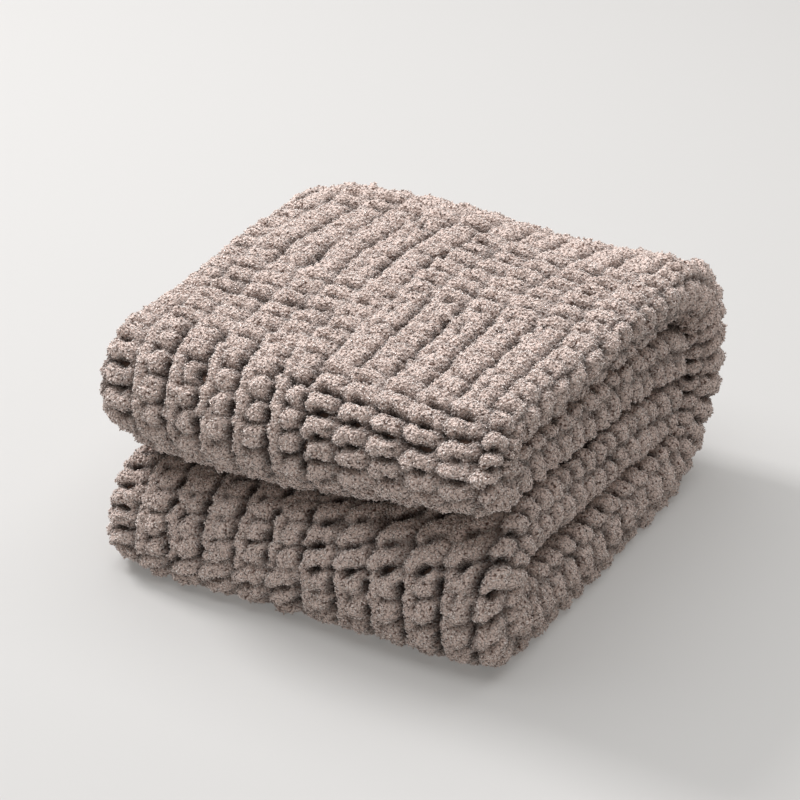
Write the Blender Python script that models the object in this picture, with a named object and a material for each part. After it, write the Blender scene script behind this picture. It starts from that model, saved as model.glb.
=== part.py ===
"""A chunky knitted blanket, folded.

One knitted panel, folded in half along its length, so that each layer is two plies with a round fold at +X and the
two selvedges at -X. Then both ends are folded to the middle, and the whole is folded over once more, so that four
layers lie on each other: two rolls at the front (-Y), one round spine at the back (+Y), and the two cast off edges
inside the spine. Metres, +Z up. The origin is on the floor under the middle.
"""

import math

import bmesh
import bpy
import numpy as np

# Sizes of the folded blanket
WIDTH = 0.440  # across the layers, from the selvedges at -X to the round folds at +X
RIB_PITCH = 0.0362  # one rib that runs along the blanket: a column of knit stitches, two strands wide
ROW_PITCH = 0.0242  # one ridge that runs across the blanket: a row of stitches
BLOCK_WIDTH = 5 * RIB_PITCH  # five ribs, or the same width of rows, make one block of the basket weave
BLOCK_LENGTH = 6 * ROW_PITCH
RIB_HEIGHT = 0.0060  # from the valley between two ribs to their crown
COLUMN_START = 0.018  # x of the boundary between the first and the second column of blocks
FOLD_ROWS = 0.212  # from here on, round the side folds, all blocks show rows
TOP_BLOCK = 0.033  # from where the upper roll turns into the top to the front edge of the top blocks
PLY_SHARE = 0.88  # a ply's thickness as a share of its layer's half thickness
FOLD_SQUARE = 0.62  # below 1 the round folds are fuller than a half circle, as pressed layers are
SELVEDGE_ROUND = 0.007  # how far each selvedge is rounded
FRONT = -0.246  # y of the noses of both rolls
SPINE = 0.253  # y of the outside of the spine
SPINE_Y = 0.124  # where the layers leave the flat and the spine begins
SIDE_POWER = 2.2  # how the left section turns into the right one across the width

# The four layers at the right end (+X) and at the left end (-X), from the floor up. z is the middle of the layer and
# half is half its thickness, each at the back, in the middle and at the front.
LAYER_Y = (0.120, -0.020, -0.150)
RIGHT = {
    #            z back  z mid   z front  half back, mid, front
    "bottom": (0.0372, 0.0382, 0.0392, 0.0385, 0.0395, 0.0405),
    "third": (0.1080, 0.1175, 0.1275, 0.0275, 0.0340, 0.0345),
    "second": (0.1690, 0.1830, 0.1940, 0.0300, 0.0265, 0.0235),
    "top": (0.2335, 0.2375, 0.2440, 0.0235, 0.0225, 0.0235),
}
LEFT = {
    "bottom": (0.0264, 0.0262, 0.0255, 0.0275, 0.0273, 0.0267),
    "third": (0.0860, 0.0850, 0.0845, 0.0275, 0.0275, 0.0270),
    "second": (0.1500, 0.1500, 0.1500, 0.0310, 0.0320, 0.0315),
    "top": (0.2225, 0.2205, 0.2165, 0.0315, 0.0325, 0.0320),
}
# x of each layer's round fold
FOLD_X = {"bottom": 0.221, "third": 0.215, "second": 0.213, "top": 0.219}
# x of the selvedges where each stretch of the line ends: the front rolls lie further in than the spine
SELVEDGE_X = (-0.212, -0.212, -0.205, -0.204, -0.224, -0.222, -0.202, -0.201, -0.212, -0.212)
SELVEDGE_DROP, SELVEDGE_SLOPE = 0.22, 0.08  # how far the outer ply slopes down to its selvedge, and over what share
# Where the two cast off edges lie inside the spine: y and z of the layer's middle, and its half thickness
TIP = {"second": (0.163, 0.150, 0.0240), "third": (0.152, 0.100, 0.0220)}

# Points across one layer, from its selvedge over the round fold and back
OUTER_STEPS = 22  # over the outer ply, two for each rib
FOLD_STEPS = 6  # round the fold
UNDER_STEPS = 2  # over the faces that lie inside the folds
STATION = ROW_PITCH / 2  # from one row of points to the next along the blanket, and twice that where layers lie hidden

# Soft unevenness of the whole pile: height, waves across X and along Y, and phase
SWELLS = ((0.0022, 9.0, 13.0, 0.4), (0.0016, 23.0, 7.0, 2.1), (0.0012, 14.0, 31.0, 4.0))
# The lower front roll sags forward where it meets the floor: by how much, from which y, over what distance and height
SAG, SAG_START, SAG_RUN, SAG_HEIGHT = 0.018, -0.140, 0.060, 0.055


def smooth(t):
    t = np.clip(t, 0.0, 1.0)
    return t * t * (3.0 - 2.0 * t)


def layer_run(table, name, forward):
    """Points along one flat layer: y, z and half thickness. forward runs from the back to the front."""
    row = table[name]
    y = np.linspace(SPINE_Y - 0.004, roll_centre(table, name)[0], 15)
    z = np.interp(-y, [-v for v in LAYER_Y], row[:3])
    half = np.interp(-y, [-v for v in LAYER_Y], row[3:])
    run = np.column_stack([y, z, half])
    return run if forward else run[::-1]


def roll_centre(table, name):
    """y and z of the centre of the roll that a layer turns round, and the radius of its middle line."""
    low, high = ("bottom", "third") if name in ("bottom", "third") else ("second", "top")
    radius = (table[high][2] - table[low][2]) / 2
    half = max(table[low][5], table[high][5])
    return FRONT + half + radius, (table[high][2] + table[low][2]) / 2, radius


def roll(table, low, high):
    """The front roll from the lower layer of a pair up to the higher one."""
    y, z, radius = roll_centre(table, low)
    turn = np.linspace(0.0, math.pi, 13)[1:-1]
    half = np.interp(turn, [0.0, math.pi], [table[low][5], table[high][5]])
    return np.column_stack([y - radius * np.sin(turn), z - radius * np.cos(turn), half])


def spine(table):
    """The round back, from the top layer down to the bottom one."""
    top, bottom = table["top"], table["bottom"]
    turn = np.linspace(0.0, math.pi, 19)[1:-1]
    half = np.interp(turn, [0.0, math.pi], [top[3], bottom[3]]) + 0.004 * np.sin(turn)
    depth = SPINE - SPINE_Y - half
    z = (top[0] + bottom[0]) / 2 + (top[0] - bottom[0]) / 2 * np.cos(turn)
    return np.column_stack([SPINE_Y + depth * np.sin(turn) ** 0.9, z, half])


def tip(name):
    """The last stretch of a layer, to its cast off edge inside the spine."""
    y, z, half = TIP[name]
    return np.array([[y, z, half]])


def whole_run(table):
    """The blanket's middle line from one cast off edge to the other, evenly spaced: y, z and half thickness."""
    parts = [tip("second"), layer_run(table, "second", True), roll(table, "second", "top"),
             layer_run(table, "top", False), spine(table), layer_run(table, "bottom", True),
             roll(table, "bottom", "third"), layer_run(table, "third", False), tip("third")]
    line = np.concatenate(parts)
    along = np.concatenate([[0.0], np.cumsum(np.hypot(*np.diff(line[:, :2], axis=0).T))])
    fine = np.linspace(0.0, along[-1], 1601)
    line = np.column_stack([np.interp(fine, along, line[:, k]) for k in range(3)])
    weights = np.exp(-0.5 * (np.arange(-9, 10) / 4.0) ** 2)
    weights /= weights.sum()
    for k in range(3):
        padded = np.concatenate([2 * line[0, k] - line[9:0:-1, k], line[:, k], 2 * line[-1, k] - line[-2:-11:-1, k]])
        line[:, k] = np.convolve(padded, weights, mode="valid")
    # The share of each stretch in the whole, so that both ends of the width are read at the same stitch
    marks = np.cumsum([len(part) for part in parts])
    return line, along, marks


def stitch_map(table):
    """The middle line read by layer and turn, so that the left and right sections match stitch for stitch."""
    line, along, marks = whole_run(table)
    share = along[marks[:-1] - 1] / along[-1]
    return line, share


def read(line, t):
    at = np.clip(t, 0.0, 1.0) * (len(line) - 1)
    return np.column_stack([np.interp(at, np.arange(len(line)), line[:, k]) for k in range(3)])


RIGHT_LINE, RIGHT_SHARE = stitch_map(RIGHT)
LEFT_LINE, LEFT_SHARE = stitch_map(LEFT)
MID_SHARE = 0.5 * (RIGHT_SHARE + LEFT_SHARE)
NODES = np.concatenate([[0.0], MID_SHARE, [1.0]])


def section(t, x):
    """Middle line and half thickness at share t of the length and at x: y, z, half."""
    side = np.clip(x / WIDTH + 0.5, 0.0, 1.0) ** SIDE_POWER
    right = read(RIGHT_LINE, np.interp(t, NODES, np.concatenate([[0.0], RIGHT_SHARE, [1.0]])))
    left = read(LEFT_LINE, np.interp(t, NODES, np.concatenate([[0.0], LEFT_SHARE, [1.0]])))
    return left + (right - left) * side[:, None]


def frame(t, x):
    """Middle point, the normal towards the outer ply, and the half thickness."""
    here = section(t, x)
    ahead, behind = section(t + 0.004, x), section(t - 0.004, x)
    run = ahead[:, :2] - behind[:, :2]
    run /= np.hypot(run[:, 0], run[:, 1])[:, None]
    return here[:, :2], np.column_stack([-run[:, 1], run[:, 0]]), here[:, 2]


def outer_length():
    """Share t of the length against the length of cloth along the outer ply, at the middle of the width."""
    t = np.linspace(0.0, 1.0, 2001)
    middle, normal, half = frame(t, np.zeros(len(t)))
    face = middle + normal * half[:, None]
    return t, np.concatenate([[0.0], np.cumsum(np.hypot(*np.diff(face, axis=0).T))])


def layer_place(t, table):
    """A place given for each layer, read at share t of the length."""
    m = NODES
    middles = [0.5 * (m[1] + m[2]), 0.5 * (m[3] + m[4]), 0.5 * (m[5] + m[6]), 0.5 * (m[7] + m[8])]
    return np.interp(t, middles, [table[name] for name in ("second", "top", "bottom", "third")])


def covered(t):
    """1 where the outer ply lies on the floor or against another layer, 0 where it shows."""
    m = NODES
    second = 1.0 - smooth((t - m[2]) / 0.016)
    bottom = smooth((t - m[5] + 0.010) / 0.016) * (1.0 - smooth((t - m[6]) / 0.016))
    third = smooth((t - m[7] + 0.016) / 0.016)
    return np.clip(second + bottom + third, 0.0, 1.0)


def stations(share, cloth):
    """Lengths along the outer ply at which rings are set, and 1 on a row's crown, -1 in a valley, 0 where rows are left out."""
    first = int(math.ceil((0.004 - ROW_START) / STATION))
    last = int(math.floor((cloth[-1] - 0.004 - ROW_START) / STATION))
    lengths, rows = [0.0], [0.0]
    for step in range(first, last + 1):
        here = ROW_START + step * STATION
        hidden = float(covered(np.interp(here, cloth, share)))
        if hidden > 0.5 and step % 2 == 0:
            continue
        lengths.append(here)
        rows.append((2.0 * (step % 2) - 1.0) * (1.0 - hidden))
    return np.array(lengths + [float(cloth[-1])]), np.array(rows + [0.0])


def askew(length, arc):
    """How far the weave has slipped along the blanket: its lower half lies a little askew."""
    return smooth((length - 1.25) / 0.25) * (0.060 + 0.18 * (np.clip(arc, -0.22, 0.26) + 0.17))


def rib(rows, across, length, arc):
    """1 on the crown of a rib and -1 in a valley, by the blocks of the basket weave, and between the two where blocks
    meet."""
    total = np.zeros(len(length))
    reach = 0.3 * RIB_PITCH
    length = length - askew(length, arc)
    for step_x, step_y in ((-reach, -reach), (-reach, reach), (reach, -reach), (reach, reach)):
        column = np.floor((arc + step_x - COLUMN_START) / BLOCK_WIDTH).astype(int) + 1
        row = np.floor((length + step_y - ROW_START) / BLOCK_LENGTH).astype(int)
        along_x = ((column + row) % 2 == 0) | (arc > FOLD_ROWS)
        total += np.where(along_x, rows, 1.0 - 2.0 * (across % 2)) / 4.0
    return total


def ring_points():
    """One closed ring across a layer: which face, how far across, and the place in the rib count."""
    ring = [("outer", k / OUTER_STEPS, k) for k in range(OUTER_STEPS + 1)]
    ring += [("turn", k / FOLD_STEPS, OUTER_STEPS + k) for k in range(1, FOLD_STEPS)]
    ring += [("under", 1 - k / UNDER_STEPS, 0) for k in range(UNDER_STEPS + 1)]
    ring += [("under_rim", 0.0, 0)]
    ring += [("under_inside", k / UNDER_STEPS, 0) for k in range(UNDER_STEPS + 1)]
    ring += [("turn_inside", 0.5, 0)]
    ring += [("outer_inside", 1 - k / UNDER_STEPS, 0) for k in range(UNDER_STEPS + 1)]
    ring += [("outer_rim", 0.0, 0)]
    return ring


def place(t, length, rows, spot):
    """x, y, z of one ring point for all stations."""
    face, share, across = spot
    fold_x, selvedge_x = layer_place(t, FOLD_X), np.interp(t, NODES, SELVEDGE_X)
    half = frame(t, np.full(len(t), WIDTH / 2 - 0.02))[2]
    # The cast off edges are rounded over one station
    end = np.minimum(length, length[-1] - length)
    taper = 0.30 * (1.0 - smooth(end / STATION))
    near = fold_x - half
    x_flat = selvedge_x + SELVEDGE_ROUND + (near - selvedge_x - SELVEDGE_ROUND) * share
    ply = PLY_SHARE
    drop = SELVEDGE_DROP * (1.0 - smooth(share / SELVEDGE_SLOPE))
    if face == "outer":
        x, level, grip = x_flat, 1.0 - taper - drop, 1.0 - covered(t)
    elif face == "turn":
        angle = math.pi * share
        out = math.sin(angle) ** FOLD_SQUARE
        up = math.copysign(abs(math.cos(angle)) ** FOLD_SQUARE, math.cos(angle))
        x, level, grip = near + half * out * (1.0 - taper), up * (1.0 - taper), math.sin(angle)
    elif face == "under":
        x, level, grip = x_flat, -1.0 + taper, 0.0
    elif face == "under_rim":
        x, level, grip = selvedge_x, -1.0 + ply / 2, 0.0
    elif face == "under_inside":
        x, level, grip = x_flat, -(1.0 - ply) - taper, 0.0
    elif face == "turn_inside":
        x, level, grip = near + half * (1.0 - ply - 0.0) * 0.9, 0.0, 0.0
    elif face == "outer_inside":
        x, level, grip = x_flat, (1.0 - ply) + taper, 0.0
    else:
        x, level, grip = selvedge_x, 1.0 - (ply + SELVEDGE_DROP) / 2, 0.0
    x = np.broadcast_to(x, t.shape).astype(float)
    middle, normal, half_here = frame(t, x)
    arc = np.where(face == "turn", near + half * math.pi * share, x)
    lift = rib(rows, across, length, arc) * RIB_HEIGHT / 2 * grip
    offset = half_here * level
    if face == "turn":
        x = x + lift * math.sin(math.pi * share)
        offset = offset + lift * math.cos(math.pi * share)
    else:
        offset = offset + lift
    yz = middle + normal * offset[:, None]
    return np.column_stack([x, yz])


def settle(points):
    """Soft swells over the whole pile, the lower roll sagging forward, and the lowest cloth pressed flat on the floor."""
    x, y, z = points[:, 0].copy(), points[:, 1].copy(), points[:, 2].copy()
    rise = np.zeros(len(points))
    for height, across, along, phase in SWELLS:
        rise += height * np.sin(across * x + along * y + phase)
    points[:, 2] = np.maximum(z + rise * np.clip(z / 0.25, 0.0, 1.0), 0.0)
    sag = SAG * smooth((SAG_START - y) / SAG_RUN) * np.clip(1.0 - z / SAG_HEIGHT, 0.0, 1.0)
    points[:, 1] = y + 0.0025 * np.sin(17.0 * x + 30.0 * z + 1.0) - sag
    return points


def clear_scene():
    for obj in list(bpy.data.objects):
        bpy.data.objects.remove(obj, do_unlink=True)


def cloth_material(name):
    material = bpy.data.materials.new(name)
    material.use_nodes = True
    shader = next(node for node in material.node_tree.nodes if node.type == "BSDF_PRINCIPLED")
    shader.inputs["Base Color"].default_value = (0.345, 0.270, 0.235, 1.0)
    shader.inputs["Roughness"].default_value = 0.95
    shader.inputs["Metallic"].default_value = 0.0
    return material


def build_blanket(collection):
    """A grid wrapped into a closed ring across the layer, run along the whole folded blanket and closed at its ends."""
    share, cloth = outer_length()
    length, rows = stations(share, cloth)
    t = np.interp(length, cloth, share)
    ring = ring_points()
    ring.append(ring[0])
    columns = np.array([settle(place(t, length, rows, spot)) for spot in ring])
    # The origin comes under the middle of the pile
    low, high = columns.min(axis=(0, 1)), columns.max(axis=(0, 1))
    columns[:, :, :2] -= (low[:2] + high[:2]) / 2

    shape = bmesh.new()
    bmesh.ops.create_grid(shape, x_segments=len(ring) - 1, y_segments=len(length) - 1, size=1.0)
    shape.verts.ensure_lookup_table()
    for index, vert in enumerate(shape.verts):
        row, column = divmod(index, len(ring))
        vert.co = columns[column][row]
    bmesh.ops.remove_doubles(shape, verts=shape.verts, dist=1e-6)
    open_edges = [edge for edge in shape.edges if edge.is_boundary]
    bmesh.ops.holes_fill(shape, edges=open_edges, sides=0)
    bmesh.ops.triangulate(shape, faces=shape.faces, quad_method="SHORT_EDGE")
    bmesh.ops.recalc_face_normals(shape, faces=shape.faces)
    mesh = bpy.data.meshes.new("knit_blanket")
    shape.to_mesh(mesh)
    shape.free()
    mesh.shade_smooth()
    mesh.materials.append(cloth_material("chenille"))
    blanket = bpy.data.objects.new("knit_blanket", mesh)
    collection.objects.link(blanket)
    return blanket


# The front edge of the top blocks, as a length of cloth along the outer ply
_share, _cloth = outer_length()
ROW_START = float(np.interp(NODES[3], _share, _cloth)) + TOP_BLOCK

clear_scene()
blanket_collection = bpy.data.collections.new("chunky_knit_blanket")
bpy.context.scene.collection.children.link(blanket_collection)
build_blanket(blanket_collection)
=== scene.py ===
# %% [markdown]
# # A chunky knitted blanket, folded into a pile
#
# The real thing is one knitted panel of very thick chenille yarn, about 0.90 m wide and 1.80 m
# long. It is folded in half along its length, both ends are folded to the middle, and the whole is
# folded over once more. This lesson builds it in that order: the cloth as a thin sheet on its
# folds, then the stitches that stand on it, then the short soft pile of the yarn, and last the
# finish, the floor, the light and the camera.
#
# Every size is in metres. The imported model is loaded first, because all that is made here has to
# fit it.

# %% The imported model
import math

import bpy
import numpy as np
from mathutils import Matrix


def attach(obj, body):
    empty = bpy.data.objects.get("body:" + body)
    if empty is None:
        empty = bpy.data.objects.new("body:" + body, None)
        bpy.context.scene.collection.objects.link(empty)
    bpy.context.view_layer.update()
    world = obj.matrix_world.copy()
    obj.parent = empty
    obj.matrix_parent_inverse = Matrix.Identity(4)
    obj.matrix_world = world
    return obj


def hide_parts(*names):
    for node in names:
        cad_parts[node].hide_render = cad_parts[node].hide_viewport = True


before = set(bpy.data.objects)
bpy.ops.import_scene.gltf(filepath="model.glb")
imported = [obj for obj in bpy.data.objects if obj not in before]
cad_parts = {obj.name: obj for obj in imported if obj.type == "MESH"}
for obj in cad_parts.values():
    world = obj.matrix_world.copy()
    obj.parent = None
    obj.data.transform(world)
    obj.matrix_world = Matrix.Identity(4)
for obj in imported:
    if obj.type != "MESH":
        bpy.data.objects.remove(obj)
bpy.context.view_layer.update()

# %% [markdown]
# ## The sizes of the knit and of the folds
#
# A knitted cloth is counted in columns and rows of stitches. Here a column is 36 mm wide and a row
# 24 mm high, and five columns by six rows make one block of the basket weave. The folds are given
# as in the solid model: for each of the four layers the height of its middle and half its
# thickness, at the right end and at the left end of the pile. Tables like these are easier to
# correct against a photograph than points are.

# %% Sizes
WIDTH = 0.440
COLUMN, ROW = 0.0362, 0.0242
BLOCK_COLUMNS, BLOCK_ROWS = 5, 6
COLUMN_START = 0.018
FOLD_ROWS = 0.212  # from here on, round the side folds, all blocks show rows
TOP_BLOCK = 0.033  # from where the upper roll turns into the top to the front edge of the top blocks
PLY_SHARE = 0.88
FOLD_SQUARE = 0.62
FRONT, SPINE, SPINE_Y = -0.246, 0.253, 0.124  # y of the pile's two ends, and where the spine starts to turn
SIDE_POWER = 2.2  # how late across the pile the layers rise from their left to their right heights
LAYER_Y = (0.120, -0.020, -0.150)  # y of the three places of the tables below
RIGHT = {
    #            z back  z mid   z front  half back, mid, front
    "bottom": (0.0372, 0.0382, 0.0392, 0.0385, 0.0395, 0.0405),
    "third": (0.1080, 0.1175, 0.1275, 0.0275, 0.0340, 0.0345),
    "second": (0.1690, 0.1830, 0.1940, 0.0300, 0.0265, 0.0235),
    "top": (0.2335, 0.2375, 0.2440, 0.0235, 0.0225, 0.0235),
}
LEFT = {
    "bottom": (0.0264, 0.0262, 0.0255, 0.0275, 0.0273, 0.0267),
    "third": (0.0860, 0.0850, 0.0845, 0.0275, 0.0275, 0.0270),
    "second": (0.1500, 0.1500, 0.1500, 0.0310, 0.0320, 0.0315),
    "top": (0.2225, 0.2205, 0.2165, 0.0315, 0.0325, 0.0320),
}
FOLD_X = {"bottom": 0.221, "third": 0.215, "second": 0.213, "top": 0.219}
# x of the selvedges where each part of the line ends: the front rolls lie further in than the spine
SELVEDGE_X = (-0.212, -0.212, -0.205, -0.204, -0.224, -0.222, -0.202, -0.201, -0.212, -0.212)
SELVEDGE_ROUND = 0.012
# How far the outer ply slopes down to its selvedge, in half thicknesses, and over what share of its width
SELVEDGE_DROP, SELVEDGE_SLOPE = 0.22, 0.08
# The cast off edges inside the spine: y, z and half thickness
TIP = {"second": (0.163, 0.150, 0.0240), "third": (0.152, 0.100, 0.0220)}
# Soft swells of the whole pile: height, waves along x and y, phase
SWELLS = ((0.0022, 9.0, 13.0, 0.4), (0.0016, 23.0, 7.0, 2.1), (0.0012, 14.0, 31.0, 4.0))
# The lower front roll sags forward at the floor: by how much, from which y, over what distance and height
SAG, SAG_START, SAG_RUN, SAG_HEIGHT = 0.018, -0.140, 0.060, 0.055
MIDDLE = (-0.0003, 0.0028)  # the solid model is moved by this much to stand centred
print(f"a block of the weave is {BLOCK_COLUMNS * COLUMN * 1000:.0f} by {BLOCK_ROWS * ROW * 1000:.0f} mm")

# %% [markdown]
# ## The line that the folded cloth follows
#
# Seen from the side, the blanket is one line: along the second layer, up round the front roll, back
# over the top, down the spine, forward along the bottom, up round the lower roll and back along the
# third layer. The line is put together from these parts, set at even steps and softened a little,
# as thick cloth has no sharp bends.


# %% One line through all layers
def smooth(t):
    t = np.clip(t, 0.0, 1.0)
    return t * t * (3.0 - 2.0 * t)


def roll_centre(table, name):
    low, high = ("bottom", "third") if name in ("bottom", "third") else ("second", "top")
    radius = (table[high][2] - table[low][2]) / 2
    half = max(table[low][5], table[high][5])
    return FRONT + half + radius, (table[high][2] + table[low][2]) / 2, radius


def layer_run(table, name, forward):
    row = table[name]
    y = np.linspace(SPINE_Y - 0.004, roll_centre(table, name)[0], 15)
    place = [-v for v in LAYER_Y]
    run = np.column_stack([y, np.interp(-y, place, row[:3]), np.interp(-y, place, row[3:])])
    return run if forward else run[::-1]


def roll(table, low, high):
    y, z, radius = roll_centre(table, low)
    turn = np.linspace(0.0, math.pi, 13)[1:-1]
    half = np.interp(turn, [0.0, math.pi], [table[low][5], table[high][5]])
    return np.column_stack([y - radius * np.sin(turn), z - radius * np.cos(turn), half])


def spine(table):
    top, bottom = table["top"], table["bottom"]
    turn = np.linspace(0.0, math.pi, 19)[1:-1]
    half = np.interp(turn, [0.0, math.pi], [top[3], bottom[3]]) + 0.004 * np.sin(turn)
    z = (top[0] + bottom[0]) / 2 + (top[0] - bottom[0]) / 2 * np.cos(turn)
    return np.column_stack([SPINE_Y + (SPINE - SPINE_Y - half) * np.sin(turn) ** 0.9, z, half])


def whole_run(table):
    """The middle line between the cast off edges, and the share of its length at which each part ends."""
    parts = [
        np.array([TIP["second"]]), layer_run(table, "second", True), roll(table, "second", "top"),
        layer_run(table, "top", False), spine(table), layer_run(table, "bottom", True),
        roll(table, "bottom", "third"), layer_run(table, "third", False), np.array([TIP["third"]]),
    ]
    line = np.concatenate(parts)
    along = np.concatenate([[0.0], np.cumsum(np.hypot(*np.diff(line[:, :2], axis=0).T))])
    fine = np.linspace(0.0, along[-1], 1601)
    line = np.column_stack([np.interp(fine, along, line[:, k]) for k in range(3)])
    weights = np.exp(-0.5 * (np.arange(-9, 10) / 4.0) ** 2)
    weights /= weights.sum()
    for k in range(3):
        value = line[:, k]
        mirrored = [2 * value[0] - value[9:0:-1], value, 2 * value[-1] - value[-2:-11:-1]]
        line[:, k] = np.convolve(np.concatenate(mirrored), weights, mode="valid")
    marks = np.cumsum([len(part) for part in parts])
    return line, along[marks[:-1] - 1] / along[-1]


RIGHT_LINE, RIGHT_SHARE = whole_run(RIGHT)
LEFT_LINE, LEFT_SHARE = whole_run(LEFT)
PARTS = np.concatenate([[0.0], 0.5 * (RIGHT_SHARE + LEFT_SHARE), [1.0]])
print("parts end at", np.round(PARTS, 3))


# %% A section across the pile at any place of the length
def read(line, t):
    at = np.clip(t, 0.0, 1.0) * (len(line) - 1)
    return np.stack([np.interp(at, np.arange(len(line)), line[:, k]) for k in range(3)], axis=-1)


def section(t, x):
    side = np.clip(x / WIDTH + 0.5, 0.0, 1.0) ** SIDE_POWER
    right = read(RIGHT_LINE, np.interp(t, PARTS, np.concatenate([[0.0], RIGHT_SHARE, [1.0]])))
    left = read(LEFT_LINE, np.interp(t, PARTS, np.concatenate([[0.0], LEFT_SHARE, [1.0]])))
    return left + (right - left) * side[..., None]


def stance(t, x):
    """Middle point, the normal towards the outer ply, and the half thickness."""
    here = section(t, x)
    run = section(t + 0.004, x)[..., :2] - section(t - 0.004, x)[..., :2]
    run /= np.linalg.norm(run, axis=-1, keepdims=True)
    return here[..., :2], np.stack([-run[..., 1], run[..., 0]], axis=-1), here[..., 2]


def layer_place(t, table):
    middles = [0.5 * (PARTS[k] + PARTS[k + 1]) for k in (1, 3, 5, 7)]
    return np.interp(t, middles, [table[name] for name in ("second", "top", "bottom", "third")])


EASE = 0.016  # a face comes into sight over this share of the line


def covered(t):
    """1 where the outer ply lies on the floor or against another layer, 0 where it shows."""
    second = 1.0 - smooth((t - PARTS[2]) / EASE)
    bottom = smooth((t - PARTS[5] + 0.010) / EASE) * (1.0 - smooth((t - PARTS[6]) / EASE))
    third = smooth((t - PARTS[7] + EASE) / EASE)
    return np.clip(second + bottom + third, 0.0, 1.0)


def outer_lengths(shares):
    """How long the outer ply is up to each share of the line, on its face at the middle of the pile."""
    middle, normal, half = stance(shares, np.zeros(len(shares)))
    face = middle + normal * half[:, None]
    return np.concatenate([[0.0], np.cumsum(np.hypot(*np.diff(face, axis=0).T))])


SHARES = np.linspace(0.0, 1.0, 2001)
CLOTH = outer_lengths(SHARES)
ROW_START = float(np.interp(PARTS[3], SHARES, CLOTH)) + TOP_BLOCK
print(f"the outer ply is {CLOTH[-1]:.3f} m long, and the top blocks start at {ROW_START:.3f} m")

# %% [markdown]
# ## Across the cloth
#
# Each layer is the panel folded in half: an outer ply, a round fold at +X, an under ply, and two
# selvedges at -X. So a ring across a layer goes over the outer ply, round the fold, back along the
# under ply, and round each selvedge to the inner faces. The fold is fuller than a half circle, so
# its steps are taken from a table of its real length, or they would crowd at its middle.

# %% The ring across one layer
STEP = 0.0027  # from one point of the fine surface to the next
SPAN = 0.405  # about how wide a ply is between its selvedge and the round fold
# A covered face has fine points, and shows, only this near to its selvedge and to the round fold
OUTER_FINE, OUTER_SEEN = (0.030, 0.045), (0.030, 0.036)
UNDER_FINE, UNDER_SEEN = (0.016, 0.034), (0.016, 0.030)
PLY_MIDDLE = 1.0 - PLY_SHARE / 2
RIM, RIM_SQUARE = 0.0125, 0.8  # how far a selvedge's round edge stands out, and how square it is

_angle = np.linspace(0.0, math.pi, 1201)
_out = np.sin(_angle) ** FOLD_SQUARE
_up = np.sign(np.cos(_angle)) * np.abs(np.cos(_angle)) ** FOLD_SQUARE
_way = np.concatenate([[0.0], np.cumsum(np.hypot(np.diff(_out), np.diff(_up)))])
TURN_LENGTH = float(_way[-1])


def turn(share):
    """How far out and how far up the round fold is, at a share of its length."""
    way = share * TURN_LENGTH
    return np.interp(way, _way, _out), np.interp(way, _way, _up)


def spread(length, near_start, near_end, coarse):
    """Shares along a face: fine near its two ends, coarse between them."""
    if near_start + near_end >= length:
        return np.linspace(0.0, 1.0, int(length / STEP) + 1)
    start = np.arange(0.0, near_start, STEP)
    end = length - np.arange(0.0, max(near_end, STEP / 2), STEP)[::-1]
    between = np.linspace(start[-1], end[0], int((end[0] - start[-1]) / coarse) + 2)[1:-1]
    return np.concatenate([start, between, end]) / length


def near_ends(share, from_selvedge, from_fold):
    """Whether a place of a ply lies within these distances of its selvedge or of the round fold."""
    return share < from_selvedge / SPAN or share > 1 - from_fold / SPAN


def ring_of(open_face):
    """One closed ring: face, share along it, and 1 where it shows."""
    outer = spread(SPAN, SPAN, SPAN, 0.02) if open_face else spread(SPAN, *OUTER_FINE, 0.03)
    under = spread(SPAN, *UNDER_FINE, 0.04)
    inside = spread(SPAN, 0.012, 0.0, 0.08)
    fold = np.linspace(0.0, 1.0, 42)[1:-1]
    rim = np.linspace(0.0, 1.0, 15)[1:-1]
    ring = [("outer", share, float(open_face or near_ends(share, *OUTER_SEEN))) for share in outer]
    ring += [("turn", share, 1.0) for share in fold]
    ring += [("under", share, float(near_ends(share, *UNDER_SEEN))) for share in under[::-1]]
    ring += [("under_rim", share, 1.0) for share in rim]
    ring += [("under_inside", share, 0.0) for share in inside]
    ring += [("turn_inside", share, 0.0) for share in (0.25, 0.5, 0.75)]
    ring += [("outer_inside", share, 0.0) for share in inside[::-1]]
    ring += [("outer_rim", share, 1.0) for share in rim]
    return ring


print(f"{len(ring_of(True))} points round an open layer, {len(ring_of(False))} round a covered one")


# %% Where a point of the ring lies
def settle(points):
    """Soft swells over the whole pile and the sag of the lower roll, as in the solid model."""
    x, y, z = points[..., 0], points[..., 1], points[..., 2]
    rise = sum(height * np.sin(a * x + b * y + phase) for height, a, b, phase in SWELLS)
    high = np.maximum(z + rise * np.clip(z / 0.25, 0.0, 1.0), 0.0)
    sag = SAG * smooth((SAG_START - y) / SAG_RUN) * np.clip(1.0 - z / SAG_HEIGHT, 0.0, 1.0)
    back = y + 0.0025 * np.sin(17.0 * x + 30.0 * z + 1.0) - sag
    return np.stack([x - MIDDLE[0], back - MIDDLE[1], high], axis=-1)


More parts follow.
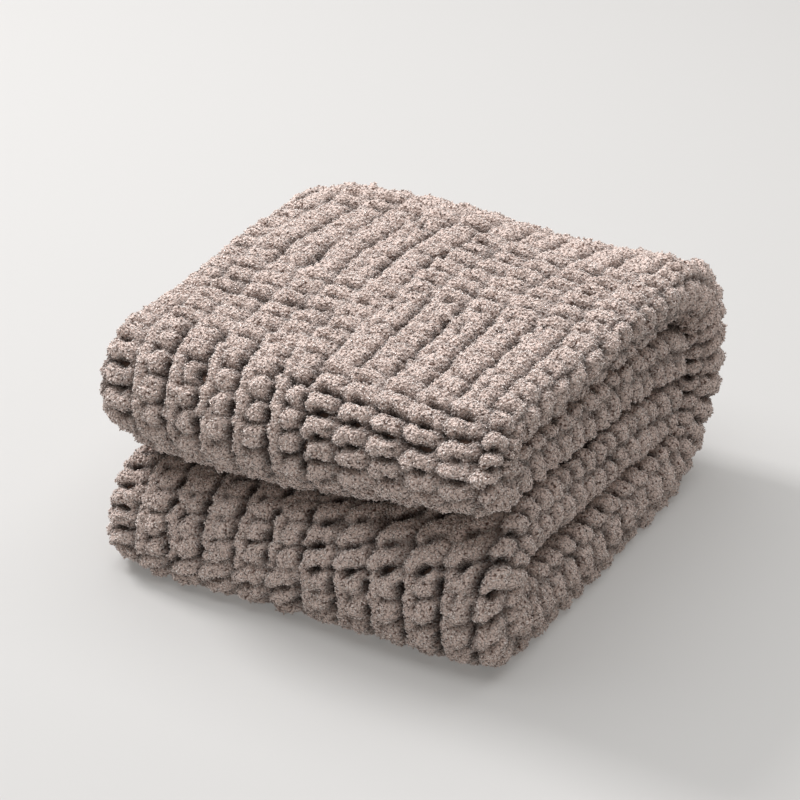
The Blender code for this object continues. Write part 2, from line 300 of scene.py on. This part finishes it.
def lay(t, face, share, thin):
    """Points of one place of the ring at all shares t of the line, and how far across the cloth they are.

    thin goes from 1 down to 0: the whole thickness of a ply, or only its middle.
    """
    t = np.asarray(t)
    half = stance(t, np.full(len(t), WIDTH / 2 - 0.02))[2]
    near = layer_place(t, FOLD_X) - half
    start = np.interp(t, PARTS, SELVEDGE_X) + SELVEDGE_ROUND
    flat = start + (near - start) * share
    around = near + half * TURN_LENGTH
    side = -1.0 if face.startswith("under") else 1.0
    radius = 1.0 if face in ("outer", "turn", "under") else 1.0 - PLY_SHARE
    radius = PLY_MIDDLE + (radius - PLY_MIDDLE) * thin
    out, up = turn(share)
    if face.startswith("turn"):
        if face == "turn_inside":
            up = -up
        x, level, across = near + half * radius * out, radius * up, near + half * TURN_LENGTH * share
    elif face.endswith("rim"):
        bend = math.pi * share if face == "under_rim" else math.pi * (1.0 - share)
        x = start - RIM * math.sin(bend) ** RIM_SQUARE * (0.35 + 0.65 * thin)
        drop = SELVEDGE_DROP / 2 if face == "outer_rim" else 0.0
        level = side * (PLY_MIDDLE - drop + (PLY_SHARE / 2 - drop) * math.cos(bend) * thin)
        away = half * PLY_SHARE * 0.8 * bend / 2 * math.pi / 2
        across = around + (near - start) + away if face == "under_rim" else start - away
    else:
        drop = SELVEDGE_DROP * (1.0 - smooth(share / SELVEDGE_SLOPE)) * (0.5 + 0.5 * thin)
        x, level = flat, side * radius - (drop if face == "outer" else 0.0)
        across = flat if side > 0 else around + (near - flat)
    middle, normal, half_here = stance(t, x)
    yz = middle + normal * (half_here * level)[:, None]
    return settle(np.column_stack([x, yz])), across + 0.0 * t


# %% [markdown]
# ## The cloth
#
# The cloth itself is a thin sheet: the ground of the knit, to which all stitches are looped. It
# runs along the middle of each ply and round the fold, so it is one open surface from selvedge to
# selvedge and from one cast off edge to the other. A grid primitive has exactly this layout, so its
# points are laid on the folds. A simulation isn't needed: the folds are pressed by hand on the real
# one too, and the photograph gives their heights.


# %% A grid primitive laid on given points
def deselect():
    bpy.ops.object.select_all(action="DESELECT")


def laid_grid(name, points):
    """A grid primitive whose points take these places: points is stations x ring x 3."""
    deselect()
    stations, across = points.shape[:2]
    bpy.ops.mesh.primitive_grid_add(x_subdivisions=across - 1, y_subdivisions=stations - 1, size=1.0)
    piece = bpy.context.object
    piece.name = piece.data.name = name
    piece.data.vertices.foreach_set("co", points.reshape(-1).astype(np.float32))
    piece.data.update()
    return piece


def add_values(piece, name, values):
    attribute = piece.data.attributes.new(name, "FLOAT", "POINT")
    attribute.data.foreach_set("value", np.asarray(values, np.float32).reshape(-1))


def cloth_rows(start, stop, step):
    count = max(2, int(round((stop - start) / step)) + 1)
    return np.linspace(start, stop, count)


# %% The ground of the knit
GROUND_STEP = 0.012
ground_length = cloth_rows(0.0, CLOTH[-1], GROUND_STEP)
ground_share = np.interp(ground_length, CLOTH, SHARES)
ground_ring = [("outer", share) for share in np.linspace(0.0, 1.0, 34)]
ground_ring += [("turn", share) for share in np.linspace(0.0, 1.0, 13)[1:-1]]
ground_ring += [("under", share) for share in np.linspace(1.0, 0.0, 34)]
ground_points = np.stack(
    [lay(ground_share, face, share, 0.0)[0] for face, share in ground_ring], axis=1
)
ground = laid_grid("knit_ground", ground_points)
deselect()
ground.select_set(True)
bpy.context.view_layer.objects.active = ground
bpy.ops.object.shade_smooth()
area = sum(face.area for face in ground.data.polygons)
print(f"the cloth has {area:.2f} square metres")

# %% [markdown]
# ## The stitches
#
# A block of knit stitches shows columns: in each, one leg of the stitches is a smooth strand, and
# the other leg is a row of rounded lumps that lean over each other. A block of purl stitches shows
# rows: long lumps like the scales of a fish, each with its left end on top of the lump before. A
# lump is an ellipsoid given by its middle, its half length and half width, its lean and the height
# of its crown, and lumps that touch flow into each other. Between them are small deep holes, one
# for each stitch. Modelling each loop as a tube would cost ten times the faces, and most of it
# would lie hidden in the cloth.

# %% The lumps of one stitch
VALLEY, FLOOR = -0.0102, -0.0185  # bottom of the valleys and of the holes, from the mean face of the cloth
LUMPS = {
    # across, along (in stitches), half length, half width, lean in degrees, crown, tilt
    "knit": (
        (0.19, 0.50, 0.0230, 0.0078, 87.0, 0.0030, 0.0),
        (0.65, 0.50, 0.0153, 0.0128, 40.0, 0.0040, -0.0036),
    ),
    "purl": (
        (0.50, 0.50, 0.0238, 0.0135, 20.0, 0.0038, -0.0064),
        (0.50, 0.50, 0.0238, 0.0135, 20.0, 0.0038, -0.0064),
    ),
}
HOLES = {
    # across, along (in stitches), radius across, radius along, depth
    "knit": (0.98, 0.42, 0.0044, 0.0056, 0.0125),
    "purl": (0.44, 0.00, 0.0058, 0.0042, 0.0130),
}
FLOW = 12.0  # the higher, the sharper the groove between two lumps
SINK = 0.0012  # the whole knit lies this much lower, so that its crowns keep the outline of the solid
COLUMNS, ROWS = (-8, 20), (-40, 60)
UNEVEN = np.random.default_rng(11).normal(size=(COLUMNS[1] - COLUMNS[0], ROWS[1] - ROWS[0], 2, 5))
# Uneven hands: place of a lump, lean in degrees, size, crown; then place across and along and depth of a hole
HAND_PLACE, HAND_LEAN, HAND_SIZE, HAND_CROWN = 0.0013, 7.0, 0.06, 0.0008
HAND_HOLE = (0.0012, 0.0008, 0.35)
# Along the cloth, and how far to the left or right the columns have wandered there
WANDER = ((0.40, 0.008), (0.48, 0.000), (0.54, -0.009), (0.64, -0.015),
          (0.75, -0.024), (0.86, -0.010), (1.00, 0.0))


def ripple(across, along, size, seed):
    """Soft unevenness of one size, the same for the same place."""
    rng = np.random.default_rng(seed)
    total = np.zeros(np.broadcast(across, along).shape)
    for _ in range(7):
        angle, phase = rng.uniform(0.0, math.pi), rng.uniform(0.0, 2.0 * math.pi)
        wave = 2.0 * math.pi / (size * rng.uniform(0.7, 1.4))
        total += np.sin(wave * (across * math.cos(angle) + along * math.sin(angle)) + phase)
    return total / 7.0


# The lower half lies askew: from where, over what length, by how much at its foot, and how much more across
SLANT_FROM, SLANT_RUN, SLANT_LEAST, SLANT_FOOT, SLANT_MORE = 0.90, 0.70, 0.060, -0.17, 0.18
# On the upper roll the rows sink towards the side fold: from where, how strongly, and how they come and go
BOW_FROM, BOW = 0.02, 0.55
BOW_COMES, BOW_GOES = (0.36, 0.04), (0.60, 0.16)


def weave_place(across, along):
    """The place in the even weave: columns made by hand wander, and the lower half lies a little askew."""
    foot = np.clip(across, -0.22, 0.20) - SLANT_FOOT
    askew = smooth((along - SLANT_FROM) / SLANT_RUN) * (SLANT_LEAST + SLANT_MORE * foot)
    wander = np.interp(along, *zip(*WANDER))
    bent = smooth((along - BOW_COMES[0]) / BOW_COMES[1]) * (1.0 - smooth((along - BOW_GOES[0]) / BOW_GOES[1]))
    bow = BOW * bent * np.maximum(across - BOW_FROM, 0.0) ** 2
    return (across - wander + 0.0030 * ripple(across, along, 0.16, 8),
            along - askew + bow + 0.0035 * ripple(across, along, 0.19, 9))


def stitch_height(across, along):
    """Height of the knit over the mean face of the cloth."""
    across, along = weave_place(across, along)
    column_at = np.floor((across - COLUMN_START) / COLUMN).astype(int)
    row_at = np.floor((along - ROW_START) / ROW).astype(int)
    flow, hole = np.zeros(across.shape), np.zeros(across.shape)
    lumps = {kind: np.array(rows) for kind, rows in LUMPS.items()}
    fold_column = (FOLD_ROWS - COLUMN_START) / COLUMN - 0.5
    for step_c in (-1, 0, 1):
        for step_r in (-1, 0, 1):
            column, row = column_at + step_c, row_at + step_r
            purl = (column // BLOCK_COLUMNS + 1 + row // BLOCK_ROWS) % 2 == 0
            purl = purl | (column > fold_column)
            da = across - COLUMN_START - column * COLUMN
            db = along - ROW_START - row * ROW
            hand = UNEVEN[np.clip(column - COLUMNS[0], 0, UNEVEN.shape[0] - 1),
                          np.clip(row - ROWS[0], 0, UNEVEN.shape[1] - 1)]
            for lump in (0, 1):
                at_column, at_row, half_long, half_wide, degrees, crown, tilt = (
                    np.where(purl, lumps["purl"][lump, k], lumps["knit"][lump, k]) for k in range(7)
                )
                u = da - at_column * COLUMN - HAND_PLACE * hand[..., lump, 0]
                v = db - at_row * ROW - HAND_PLACE * hand[..., lump, 1]
                lean = np.radians(degrees + HAND_LEAN * hand[..., lump, 2])
                size = 1.0 + HAND_SIZE * hand[..., lump, 3]
                p = (u * np.cos(lean) + v * np.sin(lean)) / (half_long * size)
                q = (v * np.cos(lean) - u * np.sin(lean)) / (half_wide * size)
                full = np.sqrt(np.clip(1.0 - p * p - q * q, 0.0, 1.0))
                crown = crown + HAND_CROWN * hand[..., lump, 4]
                rise = np.maximum(crown - VALLEY + tilt * p, 0.0) * full
                flow += np.where(purl & (lump == 1), 0.0, rise ** FLOW)
            at_column, at_row, half_across, half_along, depth = (
                np.where(purl, HOLES["purl"][k], HOLES["knit"][k]) for k in range(5)
            )
            far = ((da - at_column * COLUMN - HAND_HOLE[0] * hand[..., 0, 1]) / half_across) ** 2
            far += ((db - at_row * ROW - HAND_HOLE[1] * hand[..., 1, 2]) / half_along) ** 2
            depth = depth * np.clip(1.0 + HAND_HOLE[2] * hand[..., 1, 0], 0.0, 1.6)
            hole = np.maximum(hole, depth * np.exp(-0.5 * far * far))
    return np.maximum(VALLEY + flow ** (1.0 / FLOW) - hole, FLOOR)


# %% [markdown]
# The long surface is cut into seven pieces, one for each layer and turn, so that none is too heavy,
# and so that the faces that lie hidden between layers can have few points. Neighbouring pieces
# share the points where they meet.

# %% Seven stretches of stitches
STRETCHES = {
    # from and to, each as the end of a part and an offset in metres; then whether the outer face shows
    "second_layer": (0, 0.0, 2, -0.024, False),
    "upper_roll": (2, -0.024, 3, 0.0, True),
    "top_layer": (3, 0.0, 4, 0.0, True),
    "spine": (4, 0.0, 5, 0.012, True),
    "bottom_layer": (5, 0.012, 6, -0.024, False),
    "lower_roll": (6, -0.024, 7, 0.024, True),
    "third_layer": (7, 0.024, 9, 0.0, False),
}
CLOTH_AT = np.interp(PARTS, SHARES, CLOTH)
END_ROUND = 0.012  # over this length the cast off edges are rounded
PRESSED, RIM_LIFT, TOP_LESS = 0.22, 0.55, 0.10  # relief between layers, on a selvedge, and less on the top
NAP = ((0.0036, 0.010, 3), (0.0010, 0.060, 4))  # soft unevenness of the yarn: height, size, seed
ROUGH = 0.00055  # unevenness from one point to the next
CROWN = 0.0036  # a place this high counts as the top of a stitch
ABOVE_FLOOR = 0.0004


def surface_normals(points):
    """Normals of a laid grid that is closed round the ring; the first and last station are left out."""
    run = points[2:] - points[:-2]
    ring = np.roll(points, -1, axis=1)[1:-1] - np.roll(points, 1, axis=1)[1:-1]
    normal = np.cross(ring, run)
    return normal / np.maximum(np.linalg.norm(normal, axis=-1, keepdims=True), 1e-12)


def stitched(name, noise):
    """The stitched surface of one stretch: points, relief from 0 to 1, and shows."""
    first, first_more, last, last_more, open_face = STRETCHES[name]
    start, stop = CLOTH_AT[first] + first_more, CLOTH_AT[last] + last_more
    length = cloth_rows(start, stop, STEP)
    step = length[1] - length[0]
    length = np.concatenate([[length[0] - step], length, [length[-1] + step]])
    t = np.interp(length, CLOTH, SHARES)
    end = np.clip(np.minimum(length, CLOTH[-1] - length), 0.0, END_ROUND) / END_ROUND
    thin = np.clip(np.sqrt(1.0 - (1.0 - end) ** 2), 0.06, 1.0)
    ring = ring_of(open_face)
    points, across = zip(*[lay(t, face, share, thin) for face, share, _ in ring])
    points, across = np.stack(points, axis=1), np.stack(across, axis=1)
    normal = surface_normals(points)
    points, across, along = points[1:-1], across[1:-1], length[1:-1, None]

    # How much of the relief is there: all of it in the open, little where layers press on each other
    hidden = covered(t[1:-1])[:, None]
    faces = np.array([face for face, _, _ in ring])
    share = np.array([share for _, share, _ in ring])
    lift = np.where(faces == "turn", np.clip(1.25 * np.sin(math.pi * share), PRESSED, 1.0), PRESSED)[None, :]
    lift = np.where(((faces == "outer") | ((faces == "turn") & (share < 0.5)))[None, :],
                    np.maximum(lift, 1.0 - 0.8 * hidden), lift)
    level = smooth((along - CLOTH_AT[3]) / 0.04) * (1.0 - smooth((along - CLOTH_AT[4]) / 0.04))
    lift = np.where(np.char.endswith(faces, "rim")[None, :], RIM_LIFT, lift) * (1.0 - TOP_LESS * level)
    lift = np.where(np.char.endswith(faces, "inside")[None, :], 0.0, lift)
    lift = lift * np.clip(thin[1:-1, None], 0.2, 1.0)
    height = stitch_height(across, along + 0.0 * across)
    soft = sum(high * ripple(across, along, size, seed) for high, size, seed in NAP)
    soft = soft + ROUGH * noise.normal(size=height.shape)
    # relief also sets the painted shade of the valleys and holes in the finish
    relief = np.clip((height + soft - FLOOR) / (CROWN - FLOOR), 0.0, 1.0)
    points = points + normal * ((height - SINK) * lift + soft * np.maximum(lift, 0.3))[..., None]
    points[..., 2] = np.maximum(points[..., 2], ABOVE_FLOOR)
    shows = np.array([value for _, _, value in ring])[None, :] * np.ones_like(height)
    return points, relief, shows


# %% Make each stretch a piece
def closed_ring(values):
    """Repeats the first point of each ring at its end, where the grid is sewn together."""
    return np.concatenate([values, values[:, :1]], axis=1)


noise = np.random.default_rng(5)
stitch_pieces, surfaces = [], {}
for name in STRETCHES:
    points, relief, shows = stitched(name, noise)
    surfaces[name] = (points, relief, shows)
    piece = laid_grid(name + "_stitches", closed_ring(points))
    add_values(piece, "relief", closed_ring(relief))
    bpy.ops.object.mode_set(mode="EDIT")
    bpy.ops.mesh.select_all(action="SELECT")
    bpy.ops.mesh.remove_doubles(threshold=1e-6)
    bpy.ops.object.mode_set(mode="OBJECT")
    bpy.ops.object.shade_smooth()
    stitch_pieces.append(piece)
    print(f"{piece.name}: {2 * len(piece.data.polygons)} triangles")

# %% [markdown]
# ## The pile
#
# Chenille is a cord with short soft fibres standing out all round, a few millimetres long. They
# give the blanket its grain and its fuzzy outline, which no bump can give. One tuft is modelled as
# a cone of three sides that stands on its tip, wide and flat above as the brushed ends are, and
# copied over the surface, each copy leaning its own way. A particle system would do it too, but its
# hairs aren't a mesh.

# %% One tuft, copied over a stretch
TUFT_AREA = {"second_layer": 9.0, "upper_roll": 6.4, "top_layer": 6.7, "spine": 13.5, "bottom_layer": 10.0,
             "lower_roll": 6.6, "third_layer": 9.0}  # square millimetres for each tuft
TUFT_LENGTH, TUFT_WIDE, TUFT_SLIM = 0.0019, 0.00150, 0.00095
TUFT_LEAN, TUFT_ROOT = 0.30, 0.0006  # how far tufts lean, and how deep they stand in the yarn

deselect()
bpy.ops.mesh.primitive_cone_add(vertices=3, radius1=0.0, radius2=1.0, depth=1.0, end_fill_type="NGON",
                                location=(0.0, 0.0, 0.5))
tuft = bpy.context.object
deselect()
tuft.select_set(True)
bpy.ops.object.transform_apply(location=True, rotation=True, scale=True)
TUFT_POINTS = np.array([vert.co for vert in tuft.data.vertices])
TUFT_FACES = np.array([face.vertices[:] for face in tuft.data.polygons])
bpy.data.objects.remove(tuft, do_unlink=True)
print(f"one tuft has {len(TUFT_POINTS)} points and {len(TUFT_FACES)} faces")


def scatter(surface, area, rng):
    """Places spread over the part of a surface that shows: point, normal, relief."""
    points, relief, shows = (closed_ring(values) for values in surface)
    corner = [(slice(0, -1), slice(0, -1)), (slice(0, -1), slice(1, None)),
              (slice(1, None), slice(0, -1)), (slice(1, None), slice(1, None))]
    quad = np.stack([points[c].reshape(-1, 3) for c in corner], axis=1)
    normal = np.cross(quad[:, 3] - quad[:, 0], quad[:, 2] - quad[:, 1])
    size = np.linalg.norm(normal, axis=1)
    normal /= np.maximum(size, 1e-12)[:, None]
    visible = np.minimum.reduce([shows[c].reshape(-1) for c in corner])
    size = 0.5 * size * visible
    count = int(size.sum() * 1e6 / area)
    pick = np.searchsorted(np.cumsum(size) / size.sum(), (np.arange(count) + rng.random(count)) / count)
    pick = np.clip(pick, 0, len(size) - 1)
    a, b = rng.random((2, count, 1))
    weight = np.concatenate([(1 - a) * (1 - b), a * (1 - b), (1 - a) * b, a * b], axis=1)
    deep = np.stack([relief[c].reshape(-1) for c in corner], axis=1)
    return (quad[pick] * weight[..., None]).sum(axis=1), normal[pick], (deep[pick] * weight).sum(axis=1)


def tufts(name, places, rng):
    """One joined mesh of tufts."""
    point, normal, relief = places
    count = len(point)
    lean = rng.normal(size=(count, 3))
    axis = normal + TUFT_LEAN * lean
    axis /= np.linalg.norm(axis, axis=1, keepdims=True)
    side = np.cross(axis, rng.normal(size=(count, 3)))
    side /= np.linalg.norm(side, axis=1, keepdims=True)
    third = np.cross(axis, side)
    long = TUFT_LENGTH * rng.uniform(0.65, 1.35, (count, 1)) * (0.75 + 0.25 * relief[:, None])
    wide = TUFT_WIDE * rng.uniform(0.7, 1.3, (count, 1))
    slim = TUFT_SLIM * rng.uniform(0.7, 1.3, (count, 1))
    shape = TUFT_POINTS
    at = (point - normal * TUFT_ROOT)[:, None, :] + (
        shape[None, :, 0:1] * (side * wide)[:, None, :]
        + shape[None, :, 1:2] * (third * slim)[:, None, :]
        + shape[None, :, 2:3] * (axis * long)[:, None, :]
    )
    keep = at[:, :, 2].min(axis=1) > ABOVE_FLOOR
    at, relief = at[keep], relief[keep]
    count = len(at)
    faces = TUFT_FACES[None] + (np.arange(count) * len(shape))[:, None, None]
    mesh = bpy.data.meshes.new(name)
    mesh.vertices.add(count * len(shape))
    mesh.vertices.foreach_set("co", at.reshape(-1).astype(np.float32))
    mesh.loops.add(faces.size)
    mesh.loops.foreach_set("vertex_index", faces.reshape(-1).astype(np.int32))
    mesh.polygons.add(count * len(TUFT_FACES))
    mesh.polygons.foreach_set("loop_start", np.arange(0, faces.size, 3, dtype=np.int32))
    mesh.update(calc_edges=True)
    piece = bpy.data.objects.new(name, mesh)
    bpy.context.scene.collection.objects.link(piece)
    # relief and tip carry painted shade and a painted highlight into the pile's colour; shade is a random
    # tone for each tuft
    add_values(piece, "relief", np.repeat(relief, len(shape)))
    add_values(piece, "tip", np.tile(shape[:, 2], count))
    add_values(piece, "shade", np.repeat(rng.random(count), len(shape)))
    return piece


rng = np.random.default_rng(23)
pile_pieces = []
for name, surface in surfaces.items():
    piece = tufts(name + "_pile", scatter(surface, TUFT_AREA[name], rng), rng)
    pile_pieces.append(piece)
    print(f"{piece.name}: {len(piece.data.polygons)} triangles")

# %% [markdown]
# ## The finish
#
# The yarn is a warm grey with a touch of mauve. Light and shade are partly painted into its colour:
# the tips of the fibres get a painted highlight and are nearly pink, and the roots between the fibres
# and the valleys and holes get painted shade, dark brown. So the colour follows values that the meshes
# carry: how high a place is in the stitch, how far up a tuft, and a random tone for each tuft. The
# fibres also gather into small knobs, and a cell texture as fine as the knobs gives these, as a bump
# and as painted shade in the gaps between them. Expressions on sockets keep the shader readable.


# %% Sockets that can be used in expressions
class Value:
    def __init__(self, maker, socket):
        self.maker, self.socket = maker, socket

    def __add__(self, other):
        return self.maker.maths("ADD", self, other)

    def __sub__(self, other):
        return self.maker.maths("SUBTRACT", self, other)

    def __rsub__(self, other):
        return self.maker.maths("SUBTRACT", other, self)

    def __mul__(self, other):
        return self.maker.maths("MULTIPLY", self, other)

    def __pow__(self, other):
        return self.maker.maths("POWER", self, other)

    __radd__, __rmul__ = __add__, __mul__


class Finish:
    """A material and a short way to add nodes to it."""

    def __init__(self, name):
        self.material = bpy.data.materials.new(name)
        self.material.use_nodes = True
        self.tree = self.material.node_tree
        self.shader = next(node for node in self.tree.nodes if node.type == "BSDF_PRINCIPLED")

    def node(self, kind, settings, sockets, out=0):
        made = self.tree.nodes.new(kind)
        for key, value in settings.items():
            setattr(made, key, value)
        for key, value in sockets.items():
            self.feed(made.inputs[key], value)
        return Value(self, made.outputs[out])

    def feed(self, socket, value):
        if isinstance(value, Value):
            self.tree.links.new(value.socket, socket)
        else:
            socket.default_value = value

    def maths(self, operation, first, second):
        return self.node("ShaderNodeMath", {"operation": operation}, {0: first, 1: second})

    def mix(self, factor, first, second):
        first, second = ((*value, 1.0) if isinstance(value, tuple) else value for value in (first, second))
        settings = {"data_type": "RGBA", "clamp_factor": True}
        return self.node("ShaderNodeMix", settings, {0: factor, 6: first, 7: second}, 2)

    def attribute(self, name):
        return self.node("ShaderNodeAttribute", {"attribute_name": name}, {}, 2)

    def surface(self, **values):
        for key, value in values.items():
            self.feed(self.shader.inputs[key.replace("_", " ")], value)
        return self.material


# %% The yarn of the stitches and its pile
# Painted shade: the darkest colour deep in the valleys and holes and on the hidden ground, the next in the
# gaps between the knobs of the pile
DEEP_SHADE, GAP_SHADE = (0.040, 0.017, 0.009), (0.110, 0.048, 0.027)
# Painted shade at the roots of the tufts and on the hidden ground, the yarn's own colour, and a painted
# highlight on the tips of the tufts
SHADE, BODY, TIP_HIGHLIGHT = (0.450, 0.298, 0.236), (0.850, 0.695, 0.627), (1.000, 0.918, 0.870)
KNOB = 0.0023  # size of the small knobs that the pile forms


def cloud(finish, scale, detail):
    """Soft noise for the ground, which hardly shows between the stitches."""
    place = finish.node("ShaderNodeTexCoord", {}, {}, 3)
    return finish.node("ShaderNodeTexNoise", {"noise_dimensions": "3D"},
                       {"Vector": place, "Scale": scale, "Detail": detail, "Roughness": 0.6}, 0)


def knobs(finish):
    """1 and over on the small knobs of the pile, 0 and less in the gaps between them."""
    place = finish.node("ShaderNodeTexCoord", {}, {}, 3)
    far = finish.node("ShaderNodeTexVoronoi", {"feature": "F1"}, {"Vector": place, "Scale": 1.0 / KNOB}, 0)
    return 2.3 - far * 2.6


yarn = Finish("chenille_yarn")
relief = yarn.attribute("relief")
grain = knobs(yarn)
# painted shade in the gaps between the knobs
tone = yarn.mix(grain, GAP_SHADE, BODY)
# painted shade: the lower a place lies in the stitch, the darker, down to dark brown in the valleys and holes
tone = yarn.mix(relief ** 2.4 * 1.35, DEEP_SHADE, tone)
bump = yarn.node("ShaderNodeBump", {}, {"Height": grain, "Strength": 0.7, "Distance": 0.0012})
yarn.surface(Base_Color=tone, Roughness=0.95, Normal=bump, Sheen_Weight=0.3)

pile = Finish("chenille_pile")
relief, tip, shade = pile.attribute("relief"), pile.attribute("tip"), pile.attribute("shade")
# painted shade at the roots of the tufts, lighter towards the tips, with a random shade for each tuft
tone = pile.mix(tip * 1.2 + shade * 0.3 - 0.35, SHADE, BODY)
# painted highlight on the tips of the tufts
tone = pile.mix(tip * (shade * 0.9 + 0.25), tone, TIP_HIGHLIGHT)
# painted shade in the gaps between the knobs
tone = pile.mix(knobs(pile) * 0.85 + 0.15, GAP_SHADE, tone)
# painted shade in the valleys and holes of the stitches
tone = pile.mix(relief ** 2.4 * 1.40, DEEP_SHADE, tone)
pile.surface(Base_Color=tone, Roughness=0.9, Sheen_Weight=0.4)

under = Finish("chenille_ground")
grain = cloud(under, 260.0, 2.0)
# The ground shows only deep between the stitches, so it is coloured with the painted shade colours.
under.surface(Base_Color=under.mix(grain, DEEP_SHADE, SHADE), Roughness=0.95,
              Normal=under.node("ShaderNodeBump", {}, {"Height": grain, "Strength": 0.8, "Distance": 0.002}))

for piece in stitch_pieces:
    piece.data.materials.append(yarn.material)
for piece in pile_pieces:
    piece.data.materials.append(pile.material)
ground.data.materials.append(under.material)
print("finishes:", yarn.material.name, pile.material.name, under.material.name)

# %% [markdown]
# ## Fitting the pieces to the part
#
# All pieces ride on the one body and stand for the one solid.

# %% Body
for piece in [ground, *stitch_pieces, *pile_pieces]:
    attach(piece, "root")
    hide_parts("knit_blanket")

# %% [markdown]
# ## Floor, light and camera
#
# The photograph has a plain pale floor under a wide soft light from above, and a weaker one from
# the left and a little behind. So the front and the right side are darker, and a soft shadow falls
# to the right. Two area lights do this. A faint glow of the floor stands for the light that a
# bright studio throws back, and keeps the shadow pale. The camera stands far off with a long lens,
# which keeps the pile's edges nearly parallel.

# %% The floor
deselect()
bpy.ops.mesh.primitive_plane_add(size=14.0, location=(0.0, 0.0, 0.0))
floor = bpy.context.object
floor.name = "floor"
paper = Finish("pale_floor")
paper.surface(Base_Color=(0.445, 0.443, 0.438, 1.0), Roughness=0.9,
              Emission_Color=(1.0, 0.985, 0.955, 1.0), Emission_Strength=0.16)
floor.data.materials.append(paper.material)

# %% The light
bpy.context.scene.view_settings.view_transform = "Standard"
world = bpy.data.worlds.new("soft_room")
world.use_nodes = True
room = next(node for node in world.node_tree.nodes if node.type == "BACKGROUND")
room.inputs["Color"].default_value = (1.0, 0.935, 0.875, 1.0)
room.inputs["Strength"].default_value = 0.25
bpy.context.scene.world = world


def soft_light(name, place, aim, size, power, colour):
    """A square area light at a place, turned to what it lights."""
    data = bpy.data.lights.new(name, "AREA")
    data.shape, data.size, data.energy, data.color = "SQUARE", size, power, colour
    lamp = bpy.data.objects.new(name, data)
    bpy.context.scene.collection.objects.link(lamp)
    lamp.location = place
    direction = np.array(aim) - np.array(place)
    flat = math.hypot(direction[0], direction[1])
    heading = math.atan2(direction[1], direction[0]) - math.pi / 2
    lamp.rotation_euler = (math.atan2(flat, -direction[2]), 0.0, heading)
    return lamp


soft_light("ceiling", (-0.4, 0.1, 3.1), (-0.4, 0.1, 0.0), 4.0, 104.0, (0.985, 0.99, 1.0))
soft_light("window", (-4.0, 0.6, 3.7), (0.0, 0.0, 0.1), 1.4, 205.0, (1.0, 0.985, 0.985))

# %% The camera
AZIMUTH, ELEVATION, DISTANCE = math.radians(30.3), math.radians(28.6), 2.35
AIM = np.array([0.0, 0.0, 0.12])
PICTURE, SHIFT_RIGHT, SHIFT_UP = 800, -18, 2  # pixels
forward = np.array([-math.sin(AZIMUTH) * math.cos(ELEVATION),
                    math.cos(AZIMUTH) * math.cos(ELEVATION), -math.sin(ELEVATION)])
eye = bpy.data.cameras.new("camera")
eye.lens, eye.sensor_width = 108.0, 36.0
eye.shift_x, eye.shift_y = SHIFT_RIGHT / PICTURE, SHIFT_UP / PICTURE
camera = bpy.data.objects.new("camera", eye)
bpy.context.scene.collection.objects.link(camera)
camera.location = AIM - forward * DISTANCE
camera.rotation_euler = (math.pi / 2 - ELEVATION, 0.0, AZIMUTH)
bpy.context.scene.camera = camera
